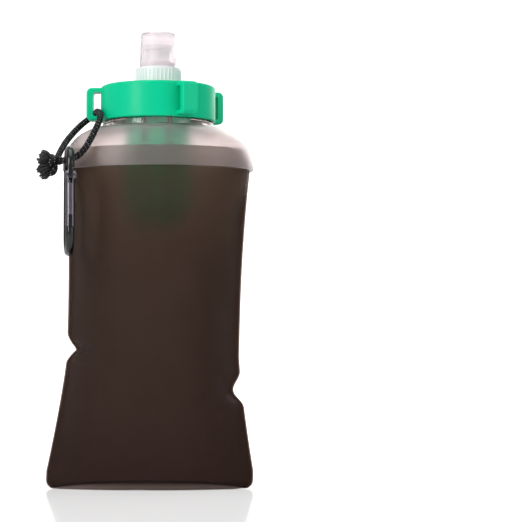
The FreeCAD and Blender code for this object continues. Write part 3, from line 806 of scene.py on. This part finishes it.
def make_knot():
    """A tight overhand knot: the trefoil's three lobes, tilted a little."""
    loop = []
    for k in range(KNOT_POINTS):
        t = 2 * math.pi * k / KNOT_POINTS
        x = math.sin(t) + 2 * math.sin(2 * t)
        y = math.cos(t) - 2 * math.cos(2 * t)
        z = -1.25 * math.sin(3 * t)
        place = Vector((x, z, y * 1.15)) * KNOT_SIZE
        place.rotate(KNOT_AXIS.to_track_quat("Z", "Y").to_euler())
        loop.append(KNOT_MIDDLE + place)
    line = route_points("knot line", loop, cyclic=True)
    return braided_tube("cord_knot_lobes", line, KNOT_STRAND_R, cyclic=True)


def make_tail(name, start, way, seed):
    """A cut end, frayed into yarns that bulge out and curl back like a mop."""
    way = way.normalized()
    side = way.orthogonal().normalized()
    up = way.cross(side)
    points, faces = [], []
    for h in range(TAIL_YARNS):
        turn = h * GOLDEN_ANGLE + seed
        off = math.sqrt((h + 0.5) / TAIL_YARNS)
        reach = TAIL_LENGTH * (0.8 + 0.3 * noise.noise(Vector((h * 0.9, seed, 5.0))))
        radial = side * math.cos(turn) + up * math.sin(turn)
        curl = 0.6 + 0.5 * noise.noise(Vector((h * 1.7, seed, 0.3)))
        base = len(points)
        for s in range(TAIL_STEPS + 1):
            share = s / TAIL_STEPS
            bulge = math.sin(math.pi * (0.12 + 0.75 * share) * (0.8 + 0.3 * curl))
            out = off * (TAIL_CORE_R + TAIL_BULGE * bulge)
            sway = noise.noise(Vector((h * 0.7, share * 2.5, seed))) * share * TAIL_SWAY
            middle = start + way * reach * math.sin(math.pi / 2 * share) + radial * out
            middle += up.cross(radial) * sway + up * sway * 0.5
            thick = TAIL_YARN_R * (1 - 0.3 * share) * (0.8 + 0.4 * (h % 3) / 2)
            for k in range(TAIL_SIDES):
                a = 2 * math.pi * k / TAIL_SIDES
                points.append(middle + (side * math.cos(a) + up * math.sin(a)) * thick)
        for face in ring_faces(TAIL_STEPS + 1, TAIL_SIDES, close_ends=True):
            faces.append(tuple(base + v for v in face))
    return mesh_object(name, points, faces, ["tail"])


def make_cord():
    """The cord through the lug, its knot and its two frayed ends; the carabiner hangs on it."""
    path = route_points("cord line", CORD_ROUTE)
    cord = braided_tube("cord_braid", path, CORD_R)
    knot = make_knot()
    tails = [
        make_tail(name, KNOT_MIDDLE + Vector(offset), Vector(way), seed)
        for name, offset, way, seed in TAILS
    ]
    for piece in [cord, knot, *tails]:
        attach(piece, "cord")
    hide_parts("cord_loop")
    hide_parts("cord_knot")


# ---- stage, light and camera ----
def seen_directly(tree):
    """1 for a ray from the camera or through something clear, and 0 for every other ray."""
    rays = tree.nodes.new("ShaderNodeLightPath")
    seen = tree.nodes.new("ShaderNodeMath")
    seen.operation = "MAXIMUM"
    tree.links.new(rays.outputs["Is Camera Ray"], seen.inputs[0])
    tree.links.new(rays.outputs["Is Transmission Ray"], seen.inputs[1])
    return seen.outputs["Value"]


def floor_finish():
    """White and glossy; a glow, brighter further back, makes it white where it is seen directly."""
    f = Finish("white floor", (0.86, 0.86, 0.86), 0.1)
    f.bump(f.noise(40, 2), 0.01, 0.0005)
    glow = f.add("ShaderNodeEmission")
    level = f.spread(f.along("Y"), 0.1, 0.9, GLOW_NEAR, GLOW_FAR)
    f.link(f.maths("MULTIPLY", seen_directly(f.tree), level), glow.inputs["Strength"])
    total = f.add("ShaderNodeAddShader")
    f.link(f.shader.outputs["BSDF"], total.inputs[0])
    f.link(glow.outputs["Emission"], total.inputs[1])
    f.link(total.outputs["Shader"], f.tree.nodes["Material Output"].inputs["Surface"])
    return f.material


def make_stage():
    """A white floor that curves up into a white wall."""
    profile = [(FLOOR_NEAR_Y, 0.0), (WALL_Y - COVE_R, 0.0)]
    for k in range(1, COVE_STEPS + 1):
        t = math.pi / 2 * k / COVE_STEPS
        profile.append((WALL_Y - COVE_R + COVE_R * math.sin(t), COVE_R - COVE_R * math.cos(t)))
    profile.append((WALL_Y, WALL_TOP))
    points = [(x, y, z) for y, z in profile for x in (-FLOOR_HALF_W, FLOOR_HALF_W)]
    faces = [(2 * k, 2 * k + 1, 2 * k + 3, 2 * k + 2) for k in range(len(profile) - 1)]
    floor = mesh_object("floor", points, faces, [])
    floor.data.materials.append(floor_finish())


def make_world():
    """A white room: dimmer as a light than it looks."""
    world = bpy.data.worlds.new("white room")
    world.use_nodes = True
    tree = world.node_tree
    background = tree.nodes["Background"]
    background.inputs["Color"].default_value = (1, 1, 1, 1)
    level = tree.nodes.new("ShaderNodeMapRange")
    level.inputs["To Min"].default_value = WORLD_LIGHT
    level.inputs["To Max"].default_value = 1.0
    tree.links.new(seen_directly(tree), level.inputs["Value"])
    tree.links.new(level.outputs["Result"], background.inputs["Strength"])
    bpy.context.scene.world = world


def make_lamps():
    for name, place, size, power in LAMPS:
        data = bpy.data.lights.new(name, "AREA")
        data.shape = "RECTANGLE"
        data.size, data.size_y = size
        data.energy = power
        lamp = bpy.data.objects.new(name, data)
        lamp.location = place
        lamp.rotation_euler = (LAMP_AIM - Vector(place)).to_track_quat("-Z", "Y").to_euler()
        bpy.context.scene.collection.objects.link(lamp)


def make_camera():
    data = bpy.data.cameras.new("camera")
    data.angle = 2 * math.atan(FIELD_AT_AIM / 2 / (AIM - EYE).length)
    camera = bpy.data.objects.new("camera", data)
    camera.location = EYE
    camera.rotation_euler = (AIM - EYE).to_track_quat("-Z", "Y").to_euler()
    bpy.context.scene.collection.objects.link(camera)
    bpy.context.scene.camera = camera
    bpy.context.scene.view_settings.view_transform = "Standard"


make_camera()
make_cord()
make_film()
make_gusset()
finish_cad_nodes()
make_stage()
make_lamps()
make_world()
